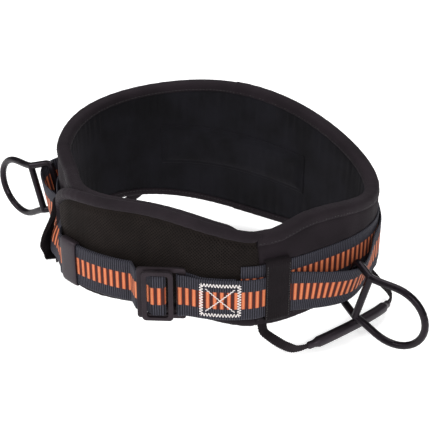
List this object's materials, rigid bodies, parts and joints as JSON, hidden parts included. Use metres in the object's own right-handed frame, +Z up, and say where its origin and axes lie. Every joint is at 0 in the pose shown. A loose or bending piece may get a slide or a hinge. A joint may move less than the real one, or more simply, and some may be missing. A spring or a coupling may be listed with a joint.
{
  "type": "work positioning belt",
  "caption": "Padded climbing waist belt with side D-rings on ladder-striped webbing, a pass-through buckle, a mesh front flap, a webbing keeper and gear loops.",
  "frame": {"origin": "centre of the belt's bounding box at rest, which lies near the centre of the waist opening", "axes": "+Z up along the wearer's spine, -Y out of the buckle at the front, +X to the wearer's left"},
  "size_m": [0.4796, 0.2798, 0.1717],
  "materials": {
    "foam": "closed-cell foam",
    "black_cloth": "smooth black nylon cloth",
    "lining": "soft brushed black lining",
    "binding": "folded edge tape",
    "air_mesh": "spacer mesh",
    "tunnel_cloth": "ribbed black tape",
    "webbing": "dark blue-grey ribbed webbing with orange ladder bars",
    "buckle_steel": "dark grey satin coating",
    "ring_steel": "glossy black coating",
    "keeper_plastic": "smooth satin elastomer",
    "loop_webbing": "fuzzy black webbing",
    "sleeve_plastic": "satin tube"
  },
  "bodies": {
    "belt": {"pad_core": "foam", "outer_cover": "black_cloth", "inner_lining": "lining", "top_binding": "binding", "bottom_binding": "binding", "lumbar_pad": "lining", "flap_core": "air_mesh", "flap_border": "binding", "right_tunnel": "tunnel_cloth", "left_tunnel": "tunnel_cloth", "rear_tunnel": "tunnel_cloth", "back_webbing": "webbing", "right_webbing": "webbing", "left_webbing": "webbing", "buckle_slide_bar": "buckle_steel"},
    "rear_frame": {"buckle_rear_frame": "buckle_steel"},
    "front_frame": {"buckle_front_frame": "buckle_steel"},
    "keeper": {"webbing_keeper": "keeper_plastic"},
    "right_ring": {"right_d_ring": "ring_steel"},
    "left_ring": {"left_d_ring": "ring_steel"},
    "right_loop": {"right_gear_loop": "loop_webbing", "right_gear_loop_sleeve": "sleeve_plastic"},
    "left_loop": {"left_gear_loop": "loop_webbing", "left_gear_loop_sleeve": "sleeve_plastic"}
  },
  "joints": [
    {"name": "rear_frame_swing", "type": "hinge", "parent": "belt", "child": "rear_frame", "pos_m": [0.01063, -0.12788, -0.01726], "axis": [0, 0, 1], "range_deg": [-0.5, 1]},
    {"name": "front_frame_tilt", "type": "hinge", "parent": "belt", "child": "front_frame", "pos_m": [-0.01186, -0.13346, -0.01726], "axis": [0, 0, 1], "range_deg": [-10, 10]},
    {"name": "keeper_travel", "type": "hinge", "parent": "belt", "child": "keeper", "pos_m": [-0.02482, 0.0279, -0.02026], "axis": [0, 0, 1], "range_deg": [-1, 22]},
    {"name": "right_ring_swing", "type": "hinge", "parent": "belt", "child": "right_ring", "pos_m": [0.16299, -0.06144, -0.03026], "axis": [0.223, -0.114, 0.9681], "range_deg": [-55, 25]},
    {"name": "left_ring_swing", "type": "hinge", "parent": "belt", "child": "left_ring", "pos_m": [-0.17097, 0.05894, -0.0203], "axis": [-0.265, 0.176, 0.948], "range_deg": [-40, 35]},
    {"name": "right_loop_swing", "type": "hinge", "parent": "belt", "child": "right_loop", "pos_m": [0.08151, -0.11711, -0.06226], "axis": [0.6299, 0.7766, -0.0118], "range_deg": [-10, 25]},
    {"name": "left_loop_swing", "type": "hinge", "parent": "belt", "child": "left_loop", "pos_m": [-0.13963, -0.01706, -0.06276], "axis": [0.372, 0.9282, -0.0032], "range_deg": [-25, 10]}
  ]
}
